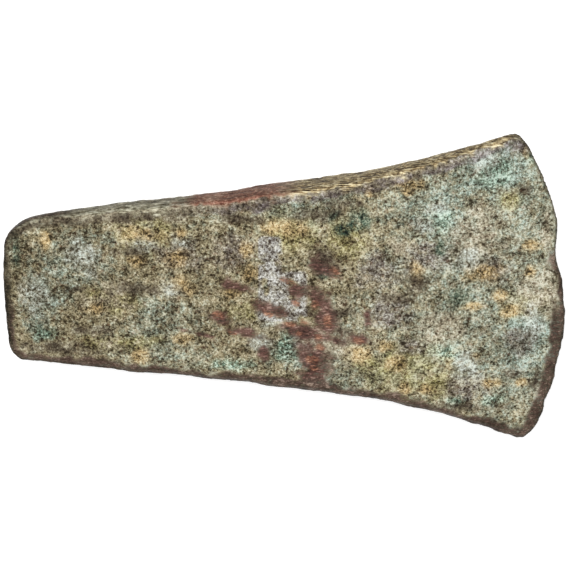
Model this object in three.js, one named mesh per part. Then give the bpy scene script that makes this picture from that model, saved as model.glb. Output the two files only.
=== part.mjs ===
// A flat axe head of cast and hammered bronze, as found in the ground: a narrow rounded butt, flanks that
// taper outwards and then splay to two blunt tips, a curved cutting edge with old chips, and broad faces
// that swell to the middle and thin to both ends. It is one solid casting, with no shaft hole or socket.
//
// Millimetres, +Z up. It lies on a broad face. +X runs from the butt to the cutting edge and +Y across,
// and the origin is on the ground, below the middle of its box.
import * as THREE from "three";
import { mergeVertices } from "three/addons/utils/BufferGeometryUtils.js";

// Plan, seen from above.
const LENGTH = 150;
const BUTT_BOW = 1.5; // how far the butt end bulges at its middle
const EDGE = { radius: 92, centreY: -5.8 }; // the cutting edge's curve sits a little to one side
// Each flank's distance from the middle line: what it has at the butt, and gains by its taper and its flare.
// Its round corners at the butt and at the tip are quarter ellipses, so long and so wide.
const FLANKS = {
  left: {
    butt: 19.1,
    taper: 15,
    flare: 8.6,
    buttCorner: { along: 11, across: 8 },
    tipCorner: { along: 5, across: 3.6 },
    phase: 3.2,
  },
  right: {
    butt: 20.7,
    taper: 12.5,
    flare: 12.1,
    buttCorner: { along: 3.6, across: 4 },
    tipCorner: { along: 6, across: 6.4 },
    phase: 2.9,
  },
};
const FLARE_POWER = 4.9; // the higher, the later the flanks turn out
const RIPPLE = { depth: 0.16, long: 21, short: 47 }; // hammering left the flanks a little wavy

// Section.
const THICKNESS = 12.5; // at the swell, before the flat that it lies on
const BUTT_END = { thickness: 3.8, swellPower: 1.35 };
const BLADE_END = { thickness: 1.3, swellPower: 0.9 }; // the cutting edge is worn blunt
const SWELL_AT = 0.58; // share of the length from the butt
const CROWN = { loss: 0.08, power: 2.5 }; // share of the thickness lost from the middle line to a flank
const RIM = { width: 2.6, squareness: 0.55 }; // the rounding between a broad face and a flank

// Soft hammer dents on the broad faces: depth, spacing along and across, and how far their rows wander.
const DENTS = { depth: 0.1, along: 4.1, across: 4.7, wander: 1.2, otherFaceShift: 40 };

// Bites lost from the cutting edge: where they are across it, their width and their depth.
const CHIPS = [
  { at: 36, width: 8, depth: 0.4 },
  { at: 8, width: 20, depth: 2.3 },
  { at: -1.5, width: 5, depth: 1.8 },
  { at: -22, width: 7, depth: 0.7 },
  { at: -31.5, width: 5, depth: 0.8 },
];
const CHIP_REACH = 0.12; // share of the length behind the edge that a chip draws in

// Hammered flats: it lies on one, and the jaws of a split haft bear on the other two near the butt.
const REST_CUT = 0.45; // depth of the flat below the swell
const MIDDLE_Z = THICKNESS / 2 - REST_CUT;
const JAW = { x: -38, height: 9.85, slope: 0.064 }; // the upper jaw's flat passes through (x, height)

// How finely the skin is divided along, across and up the flank, and how far the stations crowd to the ends.
const DIVISIONS = { along: 52, across: 30, up: 6, crowding: 0.45 };

const { lerp, clamp, smoothstep } = THREE.MathUtils;
const QUARTER_TURN = Math.PI / 2;
const HALFWAY_ROUND = 1 - Math.SQRT1_2; // halfway round a corner, an end hands over to a flank

// What a round corner takes off at a distance in from its square corner, if it is so long and so deep.
function cornerDrop(distance, long, deep) {
  const inside = Math.max(1 - distance / long, 0);
  return deep * (1 - Math.sqrt(1 - inside ** 2));
}

// What a corner takes off a flank, at a distance along from where the flank begins.
function flankDrop(distance, corner) {
  return cornerDrop(distance + HALFWAY_ROUND * corner.along, corner.along, corner.across);
}

// A flank's distance from the middle line at a station, which is 0 at the butt and 1 at the edge.
function flankReach(station, flank) {
  const reach = flank.butt + flank.taper * station + flank.flare * station ** FLARE_POWER;
  const longWave = Math.sin(RIPPLE.long * station + flank.phase);
  const shortWave = Math.sin(RIPPLE.short * station + flank.phase);
  const ripple = RIPPLE.depth * (longWave + 0.6 * shortWave);
  const buttDrop = flankDrop(station * LENGTH, flank.buttCorner);
  const tipDrop = flankDrop((1 - station) * LENGTH, flank.tipCorner);
  return reach + ripple - buttDrop - tipDrop;
}

function buttX(y, flank) {
  const bow = BUTT_BOW * (y / flank.butt) ** 2;
  const { across, along } = flank.buttCorner;
  return -LENGTH / 2 + bow + cornerDrop(flank.butt - Math.abs(y), across, along);
}

function edgeX(y, flank) {
  const tipReach = flank.butt + flank.taper + flank.flare;
  const sagitta = EDGE.radius - Math.sqrt(EDGE.radius ** 2 - (y - EDGE.centreY) ** 2);
  const { across, along } = flank.tipCorner;
  return LENGTH / 2 - sagitta - cornerDrop(tipReach - Math.abs(y), across, along);
}

function chipDepth(y) {
  let depth = 0;
  for (const chip of CHIPS) {
    const off = clamp(Math.abs(y - chip.at) / (chip.width / 2), 0, 1);
    depth += chip.depth * (0.5 + 0.5 * Math.cos(Math.PI * off));
  }
  return depth;
}

// The plan position at a station and a share of the flank's reach, and how far a chip has drawn it in.
function planPoint(station, share, flank) {
  const y = share * flankReach(station, flank);
  const start = buttX(share * flankReach(0, flank), flank);
  const end = edgeX(share * flankReach(1, flank), flank);
  const lost = chipDepth(y) * smoothstep(station, 1 - CHIP_REACH, 1);
  return { x: lerp(start, end, station) - lost, y, lost };
}

function halfThickness(station, share) {
  const beyond = station > SWELL_AT;
  const end = beyond ? BLADE_END : BUTT_END;
  const nearness = beyond ? (1 - station) / (1 - SWELL_AT) : station / SWELL_AT;
  const swell = Math.sin(QUARTER_TURN * clamp(nearness, 0, 1)) ** end.swellPower;
  return lerp(end.thickness, THICKNESS, swell) * 0.5 * (1 - CROWN.loss * Math.abs(share) ** CROWN.power);
}

function hammerDent(x, y) {
  const column = Math.sin(x / DENTS.along + DENTS.wander * Math.sin((0.7 * y) / DENTS.across));
  const row = Math.cos(y / DENTS.across + DENTS.wander * Math.sin((0.5 * x) / DENTS.along));
  return DENTS.depth * column * row;
}

// Carries a point of a block, whose sides run from -1 to 1, to its place on the axe head's skin.
function skinPoint(block) {
  const flank = block.y < 0 ? FLANKS.right : FLANKS.left;
  const up = block.z < 0 ? -1 : 1;
  const rise = Math.abs(block.z) * QUARTER_TURN;
  const inset = RIM.width * (1 - Math.cos(rise));

  const even = (block.x + 1) / 2;
  const crowded = (1 - Math.cos(Math.PI * even)) / 2;
  const margin = inset / LENGTH;
  const station = lerp(margin, 1 - margin, lerp(even, crowded, DIVISIONS.crowding));
  const share = block.y * (1 - inset / flankReach(station, flank));
  const { x, y, lost } = planPoint(station, share, flank);

  const face = Math.sin(rise) ** RIM.squareness;
  const dent = hammerDent(x, y + up * DENTS.otherFaceShift) * Math.sin(Math.PI * station);
  const half = halfThickness(station - lost / LENGTH, share) + dent;
  const jawAbove = JAW.height + JAW.slope * (x - JAW.x);
  const jawBelow = 2 * MIDDLE_Z - jawAbove;
  const z = clamp(MIDDLE_Z + up * face * half, Math.max(0, jawBelow), jawAbove);
  return new THREE.Vector3(x, y, z);
}

function axeHead() {
  const { along, across, up } = DIVISIONS;
  const block = new THREE.BoxGeometry(2, 2, 2, along, across, up);
  block.deleteAttribute("normal");
  block.deleteAttribute("uv");
  const skin = mergeVertices(block);
  const points = skin.getAttribute("position");
  const point = new THREE.Vector3();
  for (let i = 0; i < points.count; i++) {
    point.fromBufferAttribute(points, i);
    points.setXYZ(i, ...skinPoint(point));
  }
  skin.computeVertexNormals();

  const patina = new THREE.MeshStandardMaterial({ color: 0x7c7a5e, roughness: 0.85, metalness: 0.1 });
  const mesh = new THREE.Mesh(skin, patina);
  mesh.name = "axe_head";
  return mesh;
}

// The two flanks differ, so the head is moved across until its box is centred on the origin.
const head = axeHead();
const box = new THREE.Box3().setFromObject(head);
head.position.y = -(box.min.y + box.max.y) / 2;

const part = new THREE.Group();
part.add(head);

export default part;
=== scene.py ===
"""A flat axe head of tin bronze, thousands of years old and green from the ground, lying on a pale table."""

import bmesh
import bpy
import numpy as np
from mathutils import Matrix, Vector, kdtree, noise


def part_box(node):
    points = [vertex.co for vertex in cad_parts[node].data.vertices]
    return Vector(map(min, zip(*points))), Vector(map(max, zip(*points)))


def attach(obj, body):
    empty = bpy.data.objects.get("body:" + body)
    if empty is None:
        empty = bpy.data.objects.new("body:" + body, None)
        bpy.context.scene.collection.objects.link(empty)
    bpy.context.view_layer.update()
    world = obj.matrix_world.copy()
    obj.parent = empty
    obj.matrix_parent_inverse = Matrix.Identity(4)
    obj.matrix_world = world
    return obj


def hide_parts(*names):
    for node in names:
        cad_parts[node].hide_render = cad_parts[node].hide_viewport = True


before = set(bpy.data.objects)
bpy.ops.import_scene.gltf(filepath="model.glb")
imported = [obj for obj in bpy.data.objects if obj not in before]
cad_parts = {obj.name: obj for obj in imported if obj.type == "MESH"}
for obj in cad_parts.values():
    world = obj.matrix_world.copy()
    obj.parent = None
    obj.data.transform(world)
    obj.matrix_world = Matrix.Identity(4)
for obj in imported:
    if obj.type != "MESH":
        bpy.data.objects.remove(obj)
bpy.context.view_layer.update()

# ---------------------------------------------------------------------------------------------
# The casting. The real head is one piece of bronze, cast in a mould and then hammered: the faces
# were drawn out thin towards the butt and the edge, and the arrises beside the flanks turned up a
# little. Here the solid's own form is cut into a fine even skin that can carry the relief.
# ---------------------------------------------------------------------------------------------
MM = 0.001
SKIN_MESH = 0.48 * MM  # side of one face of the fine skin

low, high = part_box("axe_head")
length = (high.x - low.x) / MM
half_width = (high.y - low.y) / 2 / MM

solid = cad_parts["axe_head"]
casting = bpy.data.objects.new("bronze_casting", solid.data.copy())
casting.data.materials.clear()
bpy.context.scene.collection.objects.link(casting)

shape = bmesh.new()
shape.from_mesh(casting.data)
bmesh.ops.remove_doubles(shape, verts=shape.verts, dist=0.001 * MM)
bmesh.ops.join_triangles(shape, faces=shape.faces, angle_face_threshold=0.6, angle_shape_threshold=2.0)
shape.to_mesh(casting.data)
shape.free()

rounding = casting.modifiers.new("rounding", "SUBSURF")
rounding.levels = 2
skin = casting.modifiers.new("skin", "REMESH")
skin.mode = "VOXEL"
skin.voxel_size = SKIN_MESH
evening = casting.modifiers.new("evening", "SMOOTH")
evening.factor = 0.5
evening.iterations = 4


def settle_modifiers(piece):
    """Gives the piece the mesh that its modifiers make, and no modifiers."""
    graph = bpy.context.evaluated_depsgraph_get()
    made = bpy.data.meshes.new_from_object(piece.evaluated_get(graph))
    piece.modifiers.clear()
    piece.data = made


settle_modifiers(casting)


def read_points(mesh):
    """Vertex places in millimetres and unit normals, one row each."""
    places = np.empty(len(mesh.vertices) * 3, np.float32)
    mesh.vertices.foreach_get("co", places)
    facing = np.empty(len(mesh.vertices) * 3, np.float32)
    mesh.vertex_normals.foreach_get("vector", facing)
    return places.reshape(-1, 3).astype(float) / MM, facing.reshape(-1, 3).astype(float)


places, facing = read_points(casting.data)
count = len(places)


def soft(value, start, end):
    """A smooth step from 0 at start to 1 at end. Start may be the larger."""
    share = np.clip((value - start) / (end - start), 0, 1)
    return share * share * (3 - 2 * share)


def lumps(size, seed, stretch=(1, 1, 1)):
    """Perlin noise at each vertex, about -1 to 1, in lumps `size` millimetres across."""
    spots = (places + 37.1 * seed) / (size * np.array(stretch))
    return 1.6 * np.array([noise.noise(spot) for spot in spots.tolist()])


def nearest_rim():
    """For each vertex, its distance in plan from the outline, and which way the outline faces there."""
    rim = np.flatnonzero(np.abs(facing[:, 2]) < 0.4)
    tree = kdtree.KDTree(len(rim))
    for index in rim.tolist():
        tree.insert((places[index, 0], places[index, 1], 0), index)
    tree.balance()
    found = [tree.find((x, y, 0)) for x, y in places[:, :2].tolist()]
    nearest = np.array([hit[1] for hit in found])
    away = facing[nearest, :2]
    away /= np.linalg.norm(away, axis=1, keepdims=True)
    return np.array([hit[2] for hit in found]), away


inset, outward = nearest_rim()
along = (places[:, 0] - low.x / MM) / length
across = places[:, 1] / half_width
top = soft(facing[:, 2], -0.2, 0.2)
beside_flank = soft(np.abs(outward[:, 1]), 0.5, 0.8)
beside_edge = soft(outward[:, 0], 0.5, 0.8)
on_side = soft(np.abs(facing[:, 2]), 0.75, 0.45)

# ---------------------------------------------------------------------------------------------
# The stains. Copper salts and iron from the soil grew on the bronze in patches: ochre, green and
# pale crusts. In places the crust is rubbed off along the length, down to dark red cuprite and a
# little bare copper red. A gummed label has left a grey print with rounded corners on one face.
# A spot is its place along and across the box, as shares, and its half length and half height in mm.
# ---------------------------------------------------------------------------------------------
OCHRE = [
    (0.25, 0.38, 4.5, 2), (0.32, 0.06, 2.5, 2), (0.16, -0.11, 2.5, 1.5), (0.24, -0.41, 2.5, 2),
    (0.51, 0.44, 3, 2.5), (0.43, 0.3, 1.5, 1.5), (0.73, 0.14, 1.5, 2.5), (0.88, -0.02, 2, 1.5),
    (0.83, -0.08, 3, 1.2), (0.93, 0.3, 2, 1.5), (0.93, 0.12, 1.5, 1.5), (0.9, -0.12, 2.5, 1.5),
    (0.79, -0.43, 1, 2), (0.84, -0.41, 1.5, 1), (0.87, -0.6, 2.5, 1.2), (0.92, -0.61, 1.5, 1),
    (0.75, -0.63, 2, 1.5), (0.63, -0.39, 3, 2), (0.92, 0.9, 1, 1.5), (0.71, 0.66, 1.5, 1),
]
OLIVE = [
    (0.26, 0.38, 7, 4), (0.19, -0.04, 7, 3), (0.51, 0.41, 5.5, 4.5), (0.6, 0.36, 5.5, 4.5),
    (0.89, 0.59, 2.5, 2), (0.63, -0.4, 5.5, 3), (0.7, -0.46, 10, 6), (0.78, -0.6, 8, 3.5),
    (0.2, -0.33, 10, 2),
]
DEEP_GREEN = [
    (0.025, 0.25, 1.2, 4), (0.62, 0.48, 4.5, 2.5), (0.6, 0.43, 2, 1.5), (0.81, -0.02, 3, 2.5),
    (0.77, 0.3, 1.5, 2),
]
VERDIGRIS = [
    (0.5, -0.35, 2.5, 3.5), (0.93, 0.86, 2, 2.5), (0.87, -0.72, 2.5, 1.5), (0.8, -0.72, 2.5, 1.5),
    (0.07, -0.28, 2.5, 2), (0.41, -0.46, 5.5, 1.5), (0.77, 0.48, 3, 2.5), (0.86, 0.72, 4, 2),
]
COOL = [
    (0.75, 0.45, 8, 8), (0.86, 0.78, 8, 7), (0.14, 0.22, 10, 7), (0.93, -0.3, 5, 9), (0.06, -0.1, 5, 9),
    (0.5, -0.38, 6, 5),
]
PALE = [
    (0.74, 0.44, 2.5, 2), (0.76, 0.53, 2.5, 2), (0.13, 0.25, 2.5, 3.5), (0.16, 0.15, 1.5, 2),
    (0.85, 0.81, 3, 3), (0.32, 0.34, 2.5, 2), (0.94, -0.21, 2.5, 4), (0.06, -0.04, 3.5, 4),
    (0.82, 0.21, 3.5, 3), (0.3, 0.03, 3, 2),
]
CREAM = [
    (0.84, 0.36, 6, 6), (0.84, 0.77, 2, 1.5), (0.7, 0.32, 2, 2), (0.2, 0.03, 3, 2), (0.83, 0.52, 3, 2),
    (0.96, 0.39, 1.5, 4), (0.78, -0.23, 7, 4), (0.18, -0.07, 5.5, 2),
]
VIOLET = [
    (0.75, 0.24, 5.5, 3.5), (0.66, 0.16, 5, 4), (0.41, 0.29, 4.5, 4), (0.87, 0.16, 3.5, 3.5),
    (0.53, -0.33, 4.5, 3), (0.72, -0.34, 3.5, 2), (0.92, -0.33, 3.5, 3),
]
DARK = [
    (0.13, 0.02, 2, 1), (0.22, 0.27, 3.5, 1), (0.1, -0.37, 12, 1.5), (0.19, 0.48, 16, 1),
    (0.56, 0.52, 6, 1.5), (0.57, 0.24, 3.5, 3), (0.92, 0.66, 1.5, 1), (0.7, -0.02, 4.5, 1),
    (0.91, -0.54, 2.5, 1.5), (0.95, -0.63, 1.5, 4), (0.42, 0.49, 5.5, 1), (0.78, -0.75, 4.5, 1),
    (0.6, 0.59, 5.5, 1),
]
RUBBED = [
    (0.41, 0.06, 4.5, 1.5), (0.47, -0.09, 5, 2), (0.52, 0.03, 2.5, 1.5), (0.56, -0.04, 4, 3.5),
    (0.57, -0.16, 4, 4), (0.545, -0.25, 8, 2), (0.555, -0.42, 4.5, 6), (0.39, -0.16, 3, 2),
    (0.43, -0.25, 7, 1.2), (0.35, -0.26, 4.5, 0.6), (0.46, -0.37, 1.5, 2), (0.63, -0.29, 3, 1.5),
    (0.645, -0.14, 1, 2.5), (0.565, 0.18, 3.5, 3), (0.55, -0.54, 4.5, 2),
]
COPPER = [
    (0.505, 0.1, 2.5, 1), (0.47, -0.12, 2, 1), (0.505, -0.18, 2, 1), (0.535, -0.17, 1.5, 1),
    (0.38, -0.13, 1.5, 1), (0.52, -0.04, 1.5, 1), (0.59, 0.15, 1.5, 2), (0.55, -0.05, 2, 1.5),
    (0.575, -0.16, 1.2, 2), (0.525, -0.25, 2, 1), (0.56, -0.27, 2, 1.2), (0.545, -0.41, 2.5, 1.5),
    (0.56, -0.34, 1.5, 1), (0.55, -0.48, 1.5, 0.8), (0.63, -0.3, 1.5, 1), (0.405, -0.25, 1.5, 0.5),
]
LABEL = {"left": 0.452, "middle": 0.492, "right": 0.537, "top": 0.385, "step": 0.16, "bottom": -0.17}


def stained(spots, seed, side, slope=0, edge=1.3):
    """How strongly each vertex of one side is stained, from 0 to 1, by spots that slope to the right."""
    wobble = 0.4 * lumps(4, seed) + 0.3 * lumps(1.7, seed + 1)
    strength = np.zeros(count)
    for spot_along, spot_across, reach_along, reach_across in spots:
        off_along = (along - spot_along) * length
        off_across = (across - spot_across) * half_width - slope * off_along
        reach = np.hypot(off_along / reach_along, off_across / reach_across)
        strength = np.maximum(strength, soft(reach + wobble, 0.4 + edge, 0.4))
    return strength * side


def stained_both(spots, seed, more=0, slope=0, edge=1.3):
    """Spots on the upper face and more like them by lot, and others like them all underneath."""
    lot = np.random.default_rng(seed)

    def drawn(number):
        sizes = [spots[index][2:] for index in lot.integers(len(spots), size=number)]
        return [(lot.uniform(0.05, 0.95), lot.uniform(-0.8, 0.8), *size) for size in sizes]

    upper_spots = spots + drawn(more)
    lower_spots = drawn(len(upper_spots))
    above = stained(upper_spots, seed, top, slope, edge)
    below = stained(lower_spots, seed + 5, 1 - top, slope, edge)
    return above + below


ochre = stained_both(OCHRE, 3, more=16)
olive = stained_both(OLIVE, 93, more=3)
violet = stained_both(VIOLET, 103, more=4)
verdigris = stained_both(VERDIGRIS, 13, more=4)
cool = stained_both(COOL, 143)
pale = stained_both(PALE, 23, more=6)
dark = stained_both(DARK, 33, more=8)
cream = stained_both(CREAM, 113, more=6)
deep_green = stained_both(DEEP_GREEN, 133, more=2)
rubbed = stained_both(RUBBED, 43, slope=-0.25, edge=1)
copper = stained_both(COPPER, 123, slope=-0.25, edge=0.6)


def block(left, right, bottom, upper, corner=1.2):
    """A block with round corners on the upper face, 1 inside and 0 outside."""
    middle = ((left + right) / 2, (bottom + upper) / 2)
    off_along = np.abs(along - middle[0]) * length - (right - left) * length / 2 + corner
    off_across = np.abs(across - middle[1]) * half_width - (upper - bottom) * half_width / 2 + corner
    beyond = np.hypot(np.maximum(off_along, 0), np.maximum(off_across, 0)) - corner
    return soft(beyond, 0.3, -0.3)


stem = block(LABEL["left"], LABEL["middle"], LABEL["bottom"], LABEL["top"])
foot = block(LABEL["left"], LABEL["right"], LABEL["bottom"], LABEL["step"])
worn_away = soft(lumps(4, 51) + 0.5 * lumps(1.6, 52), 0.75, 0.35)
label = np.maximum(stem, foot) * worn_away * top * (1 - 0.8 * rubbed)

# ---------------------------------------------------------------------------------------------
# The relief. Hammer dents, pits where the bronze has rotted, crust standing on the sound skin,
# streaks along the hammered flanks, a low lip on each arris and small bites out of the edge.
# Depths and sizes are in millimetres.
# ---------------------------------------------------------------------------------------------
DENT_DEPTH = 0.09
CRUST = {"size": 3.2, "height": 0.11}
GRAIN_DEPTH = 0.06
PIT = {"spacing": 2.6, "radius": 0.34, "depth": 0.2}
LIP = {"height": 0.3, "inset": 1.4, "half_width": 1.5}
STREAK_DEPTH = 0.16
DRAWN_IN = 0.28  # what the rounding took off the rims
NICK = {"depth": 0.35, "reach": 2.2}
LIFT = 0.03  # keeps the flat that it lies on from sharing a plane with the table


def pits(seed):
    """Round hollows, 1 at their middles, one in each cell and some of them missing."""
    spots = (places + 11.3 * seed) / PIT["spacing"]
    off = np.array([noise.voronoi(spot)[0][0] for spot in spots.tolist()])
    kept = soft(lumps(7, seed + 1), -0.15, 0.35)
    return soft(off, PIT["radius"], 0.06) * kept


crust = soft(lumps(CRUST["size"], 61) + 0.55 * lumps(1.5, 62), -0.12, 0.22)
grain = lumps(1.15, 63)
pitted = pits(64)
lip = np.exp(-(((inset - LIP["inset"]) / LIP["half_width"]) ** 2)) * beside_flank * soft(along, 0.2, 0.42)
streaks = lumps(1.1, 66, stretch=(9, 1, 1)) * on_side * beside_flank
sound = 1 - 0.7 * rubbed

relief = DENT_DEPTH * (lumps(9, 60) + 0.5 * lumps(4.5, 65))
relief += CRUST["height"] * (crust - 0.5) * sound
relief += GRAIN_DEPTH * grain * (1 - 0.5 * on_side)
relief -= PIT["depth"] * pitted * (1 - 0.6 * on_side)
relief += LIP["height"] * lip * (1 - on_side)
relief += STREAK_DEPTH * streaks
relief += DRAWN_IN * on_side
relief += 0.08 * lumps(1.0, 67, stretch=(4, 1, 1)) * rubbed - 0.08 * rubbed
relief *= 1 - 0.5 * beside_edge * soft(inset, 4, 0)

nicks = soft(lumps(3.6, 71, stretch=(9, 1, 9)), 0.35, 0.9)
nicks += 0.25 * soft(lumps(1.6, 72, stretch=(9, 1, 9)), 0.2, 0.9)
bitten = NICK["depth"] * nicks * beside_edge * soft(inset, NICK["reach"], 0)
moved = places + relief[:, None] * facing
moved[:, :2] -= bitten[:, None] * outward
moved[:, 2] = np.maximum(moved[:, 2], low.z / MM + LIFT)
casting.data.vertices.foreach_set("co", (moved * MM).astype(np.float32).ravel())
casting.data.shade_smooth()
casting.data.update()

# ---------------------------------------------------------------------------------------------
# The patina. Each mineral has its own run of colours from its hollows to its crust, all broken up
# by one fine grain. Where each mineral lies is written on the mesh, as shares from 0 to 1, and so are the
# painted shade on the rims and the painted highlight on the upper arris.
# ---------------------------------------------------------------------------------------------
# The skin of the upper flank: pale at the butt, then cuprite, then gold, with a painted highlight at its
# foot, a pale cream line where the face turns into the flank.
ragged_rim = 0.7 * lumps(7, 81) + 0.5 * lumps(2.6, 82)
upper = soft(across, 0, 0.2)
near_rim = soft(inset, 2.8, 1.9)
raggedness = 0.16 * lumps(1.6, 86) + 0.14 * lumps(5, 87)
flatness = np.abs(facing[:, 2])  # 1 on the flat of a face and 0 on an upright flank
flank_skin = soft(flatness + raggedness, 0.95, 0.7) * near_rim
side_red = flank_skin * upper * soft(along + 0.02 * ragged_rim, 0.29, 0.35) * soft(along, 0.54, 0.47)
side_ochre = flank_skin * upper * soft(along + 0.02 * ragged_rim, 0.46, 0.53) * soft(along, 0.93, 0.87)
side_brown = on_side * np.maximum(soft(along, 0.16, 0.08), soft(along, 0.86, 0.93))
# Painted highlight: a pale line on the rounding between the upper face and the upper flank.
crest_highlight = np.exp(-(((flatness - 0.86) / 0.09) ** 2)) * near_rim * upper * soft(along, 0.9, 0.8)

# Brown bronze along the lower rim, which is widest in the middle and at the tip, and along the edge. On the
# lower rim the brown is also painted shade, darkening where the rim turns away from the light.
lower_width = 2.2 + 0.9 * np.exp(-(((along - 0.53) / 0.13) ** 2)) + 1.1 * soft(along, 0.8, 0.92)
lower_rim = soft(inset - lower_width + 1.2 * ragged_rim, 0.7, -0.5)
# Painted shade: the lower rim is darkened together with its brown bronze.
lower_brown_and_shade = soft(across, 0, -0.2) * np.maximum(lower_rim, on_side)
edge_rim = beside_edge * soft(inset + 1.2 * ragged_rim, 2, 1)
edge_brown = edge_rim * soft(across, 0.3, 0.2) * soft(across, -0.95, -0.8)
tip_brown = soft(along, 0.84, 0.9) * soft(across, 0.84, 0.93)
brown_and_shade = np.clip(np.maximum.reduce([side_brown, lower_brown_and_shade, edge_brown]), 0, 1)

# A band beside the upper flank, dark near the butt and violet-grey from there on, and painted shade darkening
# the butt end and, more faintly, the whole outline.
upper_arris = beside_flank * upper * (1 - on_side) * soft(inset + 1.3 * ragged_rim, 3.7, 2.4)
arris_dark = upper_arris * soft(along, 0.42, 0.3)
arris_violet = np.maximum(upper_arris * soft(along, 0.3, 0.42), tip_brown)
butt_end = soft(-outward[:, 0], 0.5, 0.8)
# Painted shade: dark at the butt end and, fainter, all round the outline.
rim_shade = np.maximum(butt_end * soft(inset + 0.8 * ragged_rim, 2.1, 0.3), 0.7 * soft(inset, 0.8, 0.1))

# Where the crust is cool green rather than warm, and where it is smooth.
drift = soft(0.8 * lumps(30, 84) + lumps(12, 85) + 1.2 * (along - 0.55), -0.9, 0.9)
coolness = np.clip(0.7 * drift + 0.6 * cool - 0.2, 0, 1)
calm = np.maximum.reduce([rubbed, copper, brown_and_shade, 0.3 * arris_violet, 0.4 * arris_dark, 0.3 * dark, rim_shade])

ATTRIBUTES = {
    "hollow": np.clip(0.5 * pitted + 0.4 * (1 - crust) - 0.4 * grain, 0, 1),
    "along": along,
    "calm": np.clip(calm, 0, 1),
    "cool": coolness,
    "olive": olive,
    "violet": violet,
    "cream": cream,
    "pale": pale,
    "ochre": ochre,
    "verdigris": verdigris,
    "deep_green": deep_green,
    "dark": np.maximum(dark, arris_dark),
    "label": label,
    "arris": arris_violet,
    "rubbed": rubbed,
    "copper": copper,
    "side": flank_skin * beside_flank,
    "crest_highlight": crest_highlight,
    "side_ochre": side_ochre,
    "side_red": side_red,
    "brown_and_shade": brown_and_shade,
    "rim_shade": rim_shade,
}
for name, values in ATTRIBUTES.items():
    layer = casting.data.attributes.new(name, "FLOAT", "POINT")
    layer.data.foreach_set("value", values.astype(np.float32))

patina = bpy.data.materials.new("patinated_bronze")
patina.use_nodes = True
tree = patina.node_tree
surface = tree.nodes["Principled BSDF"]
where = tree.nodes.new("ShaderNodeTexCoord").outputs["Object"]


def share_of(name):
    """The share of one mineral, as written on the mesh."""
    reader = tree.nodes.new("ShaderNodeAttribute")
    reader.attribute_name = name
    return reader.outputs["Fac"]


def feed(socket, value):
    """Links a socket to another, or sets it to a plain value."""
    if isinstance(value, bpy.types.NodeSocket):
        tree.links.new(value, socket)
    else:
        socket.default_value = value


def maths(operation, first, second, clamped=False):
    step = tree.nodes.new("ShaderNodeMath")
    step.operation = operation
    step.use_clamp = clamped
    feed(step.inputs[0], first)
    feed(step.inputs[1], second)
    return step.outputs[0]


def noise_node(size, detail, roughness, stretch):
    """Noise with lumps `size` millimetres across, and longer by the stretch."""
    fit = tree.nodes.new("ShaderNodeMapping")
    fit.vector_type = "TEXTURE"
    fit.inputs["Scale"].default_value = [size * MM * factor for factor in stretch]
    tree.links.new(where, fit.inputs["Vector"])
    cloud = tree.nodes.new("ShaderNodeTexNoise")
    cloud.inputs["Scale"].default_value = 1
    cloud.inputs["Detail"].default_value = detail
    cloud.inputs["Roughness"].default_value = roughness
    tree.links.new(fit.outputs[0], cloud.inputs["Vector"])
    return cloud


def speckle(size, detail, roughness, stretch=(1, 1, 1)):
    """One noise, from -0.5 to 0.5."""
    return maths("SUBTRACT", noise_node(size, detail, roughness, stretch).outputs["Fac"], 0.5)


def scaled_sum(*terms, start=0.5):
    """Adds up pairs of a value and what it is multiplied by."""
    total = start
    for value, factor in terms:
        total = maths("ADD", total, maths("MULTIPLY", value, factor))
    return total


def colour_run(position, *colours):
    """A run of evenly spaced colours, given as red, green and blue out of 255."""
    ramp = tree.nodes.new("ShaderNodeValToRGB")
    stops = ramp.color_ramp.elements
    while len(stops) < len(colours):
        stops.new(0.5)
    for index, colour in enumerate(colours):
        stops[index].position = index / (len(colours) - 1)
        stops[index].color = [(level / 255) ** 2.2 for level in colour] + [1]
    tree.links.new(position, ramp.inputs["Fac"])
    return ramp.outputs["Color"]


def laid_over(under, over, share):
    """One colour over another, by a share from 0 to 1."""
    mix = tree.nodes.new("ShaderNodeMix")
    mix.data_type = "RGBA"
    feed(mix.inputs["Factor"], share)
    tree.links.new(under, mix.inputs["A"])
    tree.links.new(over, mix.inputs["B"])
    return mix.outputs["Result"]


def broken(share, grain, most=0.7):
    """A share broken up by noise into grains, at most so strong on the average."""
    cover = maths("ADD", maths("MULTIPLY", grain, 2.4), most, clamped=True)
    return maths("MULTIPLY", share, cover)


def three_speckles(size, detail, roughness):
    """Three noises that don't follow each other, each from -0.5 to 0.5."""
    cloud = noise_node(size, detail, roughness, (1, 1, 1))
    parts = tree.nodes.new("ShaderNodeSeparateColor")
    tree.links.new(cloud.outputs["Color"], parts.inputs["Color"])
    return [maths("SUBTRACT", part, 0.5) for part in parts.outputs]


def flecks(noise_value, share):
    """Flecks where the noise is high, which cover about a quarter of the skin at that share."""
    return maths("MULTIPLY", maths("MULTIPLY", maths("SUBTRACT", noise_value, 0.06), 7, clamped=True), share)


blotches = speckle(6, 3, 0.7)
mottle = speckle(2.6, 1.5, 0.8)
grains = speckle(0.72, 1.8, 1.0)
curls = maths("SUBTRACT", 0.09, maths("ABSOLUTE", speckle(1.3, 1.5, 0.9), 0))
fibres = speckle(0.6, 2, 0.9, stretch=(3, 1, 1))
threads = speckle(0.5, 2, 0.9, stretch=(14, 1, 1))
fray = speckle(1.6, 2.5, 0.9)
hue = speckle(2.2, 3, 0.9)
brown_fleck, cream_fleck, rust_fleck = three_speckles(1.5, 2, 0.8)
worn = maths("SUBTRACT", share_of("along"), 0.35)
rough = maths("SUBTRACT", 1, maths("MULTIPLY", share_of("calm"), 0.7))
speckled = maths("MULTIPLY", scaled_sum((grains, 2.3), (curls, 2.6), start=0), rough)
tone = scaled_sum(
    (blotches, 1.4), (mottle, 0.9), (speckled, 1), (share_of("hollow"), -0.25), (worn, 0.22), start=0.46
)
streaked = scaled_sum((blotches, 1.2), (fibres, 2.4), (grains, 0.8))
threaded = scaled_sum((blotches, 0.8), (threads, 3.8), (grains, 0.8))

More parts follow.
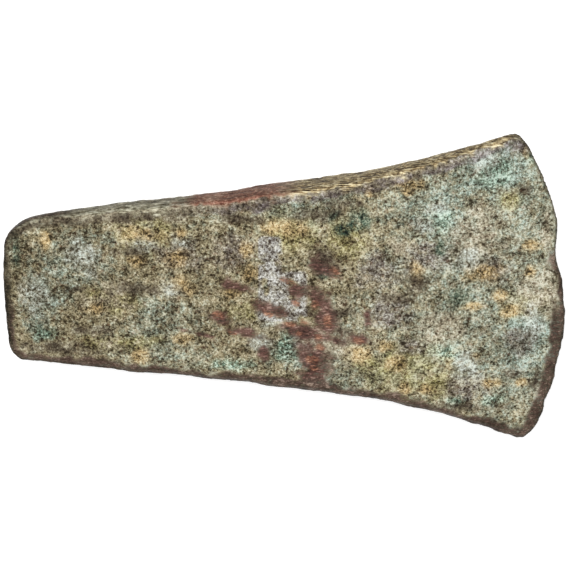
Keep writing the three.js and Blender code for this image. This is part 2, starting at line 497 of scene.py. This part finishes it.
warm_green = colour_run(tone, (50, 42, 28), (90, 81, 60), (128, 118, 92), (158, 148, 119), (200, 192, 163))
cool_green = colour_run(tone, (46, 46, 36), (80, 85, 74), (114, 124, 110), (143, 157, 144), (186, 203, 192))
olive_run = colour_run(tone, (48, 42, 24), (88, 81, 50), (126, 118, 76), (160, 152, 104), (204, 198, 150))
violet_run = colour_run(tone, (46, 39, 33), (78, 70, 63), (107, 99, 91), (141, 134, 127), (186, 182, 173))
cream_run = colour_run(tone, (62, 53, 41), (114, 105, 86), (152, 142, 120), (183, 174, 151), (216, 210, 190))
pale_run = colour_run(tone, (72, 67, 54), (122, 121, 108), (157, 159, 148), (188, 195, 188), (220, 229, 220))
ochre_run = colour_run(tone, (50, 41, 26), (102, 86, 57), (152, 129, 90), (190, 165, 119), (220, 201, 161))
green_run = colour_run(tone, (32, 35, 29), (60, 72, 60), (94, 114, 98), (143, 168, 150), (202, 222, 206))
deep_run = colour_run(tone, (18, 22, 18), (34, 46, 38), (56, 72, 60), (86, 102, 86), (140, 152, 132))
dark_run = colour_run(tone, (40, 33, 25), (62, 53, 43), (82, 73, 60), (110, 102, 86), (162, 155, 137))
label_run = colour_run(tone, (54, 46, 39), (98, 91, 85), (140, 137, 130), (178, 177, 171), (216, 216, 211))
arris_run = colour_run(tone, (34, 27, 26), (56, 47, 45), (80, 71, 68), (108, 99, 97), (160, 152, 152))
rubbed_run = colour_run(streaked, (42, 28, 24), (64, 44, 38), (84, 60, 53), (108, 80, 71), (156, 130, 118))
copper_run = colour_run(streaked, (70, 42, 32), (100, 63, 49), (128, 86, 67), (154, 111, 88), (188, 150, 126))
side_pale = colour_run(
    threaded, (52, 47, 34), (98, 92, 74), (138, 134, 113), (170, 167, 144), (212, 209, 188)
)
side_gold = colour_run(
    threaded, (46, 34, 22), (96, 78, 54), (156, 136, 100), (204, 184, 138), (236, 224, 188)
)
side_cuprite = colour_run(
    streaked, (78, 46, 37), (114, 73, 60), (138, 93, 77), (158, 114, 97), (190, 155, 136)
)
# Brown bronze, also used as painted shade on the lower rim.
brown_and_shade_run = colour_run(streaked, (32, 23, 19), (50, 38, 32), (70, 55, 47), (94, 77, 67), (142, 124, 110))
# Painted shade: near-black for the butt end and the outline.
rim_shade_run = colour_run(streaked, (22, 19, 12), (34, 30, 20), (46, 41, 30), (66, 59, 46), (104, 95, 78))

cool_share = maths("ADD", share_of("cool"), maths("MULTIPLY", hue, 2.6), clamped=True)
colour = laid_over(warm_green, cool_green, cool_share)
colour = laid_over(colour, olive_run, broken(share_of("olive"), hue))
colour = laid_over(colour, violet_run, broken(share_of("violet"), hue))
colour = laid_over(colour, cream_run, broken(share_of("cream"), fray))
colour = laid_over(colour, dark_run, flecks(brown_fleck, 0.5))
colour = laid_over(colour, cream_run, flecks(cream_fleck, 0.5))
colour = laid_over(colour, copper_run, flecks(rust_fleck, 0.22))
colour = laid_over(colour, pale_run, broken(share_of("pale"), fray, 0.6))
colour = laid_over(colour, ochre_run, broken(share_of("ochre"), fray, 0.8))
colour = laid_over(colour, green_run, broken(share_of("verdigris"), fray))
colour = laid_over(colour, dark_run, broken(share_of("dark"), fray, 0.8))
colour = laid_over(colour, deep_run, broken(share_of("deep_green"), fray, 0.8))
colour = laid_over(colour, label_run, broken(share_of("label"), fray, 0.85))
colour = laid_over(colour, arris_run, broken(share_of("arris"), fray, 0.8))
colour = laid_over(colour, rubbed_run, broken(share_of("rubbed"), fibres, 1.05))
colour = laid_over(colour, copper_run, broken(share_of("copper"), fibres, 0.75))
colour = laid_over(colour, side_pale, share_of("side"))
colour = laid_over(colour, side_gold, share_of("side_ochre"))
colour = laid_over(colour, side_cuprite, share_of("side_red"))
# Painted highlight: cream along the upper arris.
colour = laid_over(colour, cream_run, broken(share_of("crest_highlight"), fibres, 0.45))
# Brown bronze on the flank ends and the edge, and brown with painted shade on the lower rim.
colour = laid_over(colour, brown_and_shade_run, broken(share_of("brown_and_shade"), fibres, 0.98))
# Painted shade at the butt end and round the outline.
colour = laid_over(colour, rim_shade_run, broken(share_of("rim_shade"), fray, 0.95))
tree.links.new(colour, surface.inputs["Base Color"])

CRUST_ROUGHNESS = 0.88
BARE_ROUGHNESS = 0.55
SPECULAR = 0.15
GRIT_HEIGHT = 0.25

dullness = tree.nodes.new("ShaderNodeMapRange")
dullness.inputs["To Min"].default_value = CRUST_ROUGHNESS
dullness.inputs["To Max"].default_value = BARE_ROUGHNESS
tree.links.new(share_of("calm"), dullness.inputs["Value"])
tree.links.new(dullness.outputs["Result"], surface.inputs["Roughness"])
surface.inputs["Specular IOR Level"].default_value = SPECULAR

gritty = tree.nodes.new("ShaderNodeBump")
gritty.inputs["Strength"].default_value = 0.6
gritty.inputs["Distance"].default_value = GRIT_HEIGHT * MM
tree.links.new(speckled, gritty.inputs["Height"])
tree.links.new(gritty.outputs["Normal"], surface.inputs["Normal"])

casting.data.materials.append(patina)
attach(casting, "root")
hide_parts("axe_head")

# ---------------------------------------------------------------------------------------------
# The table it lies on, a sheet of matt white board, and the soft light of a studio.
# ---------------------------------------------------------------------------------------------
TABLE_SPAN = 24 * length * MM
bpy.ops.mesh.primitive_plane_add(size=TABLE_SPAN, location=(0, 0, low.z))
table = bpy.context.object
table.name = "table_top"
board = bpy.data.materials.new("white_board")
board.use_nodes = True
board_finish = board.node_tree.nodes["Principled BSDF"].inputs
board_finish["Base Color"].default_value = (0.9, 0.9, 0.9, 1)
board_finish["Roughness"].default_value = 0.9
board_finish["Emission Color"].default_value = (1, 1, 1, 1)
board_finish["Emission Strength"].default_value = 0.36
table.data.materials.append(board)

sky = bpy.data.worlds.new("studio")
sky.use_nodes = True
sky.node_tree.nodes["Background"].inputs["Color"].default_value = (1, 1, 1, 1)
sky.node_tree.nodes["Background"].inputs["Strength"].default_value = 0.49
bpy.context.scene.world = sky


def soft_box(name, place, size, power):
    """A square lamp of that size, in lengths of the head, aimed at it."""
    lamp = bpy.data.lights.new(name, "AREA")
    lamp.shape = "SQUARE"
    lamp.size = size * length * MM
    lamp.energy = power
    holder = bpy.data.objects.new(name, lamp)
    holder.location = Vector(place) * length * MM
    holder.rotation_euler = (-holder.location).to_track_quat("-Z", "Y").to_euler()
    bpy.context.scene.collection.objects.link(holder)


soft_box("far_light", (-0.8, 3, 5), 3.5, 5.7)
soft_box("over_light", (0.5, 0.6, 6), 4, 2.2)

# ---------------------------------------------------------------------------------------------
# The camera looks down on the broad face, leaning a little to the far side, so one flank shows.
# ---------------------------------------------------------------------------------------------
LEAN = np.radians(18)
DISTANCE = 4 * length * MM
FILL = 0.987  # share of the picture's width that the head takes up
SENSOR = 36

right = Vector((1, 0, 0))
back = Vector((0, np.sin(LEAN), np.cos(LEAN)))
rise = Vector((0, np.cos(LEAN), -np.sin(LEAN)))
centre = Vector((-0.16 * MM, 0, 6 * MM)) + rise * 1.09 * MM
lens = bpy.data.cameras.new("camera")
lens.sensor_width = SENSOR
lens.lens = FILL * SENSOR * DISTANCE / (length * MM)
camera = bpy.data.objects.new("camera", lens)
camera.location = centre + back * DISTANCE
camera.rotation_euler = Matrix((right, rise, back)).transposed().to_euler()
bpy.context.scene.collection.objects.link(camera)
bpy.context.scene.camera = camera
bpy.context.scene.view_settings.view_transform = "Standard"
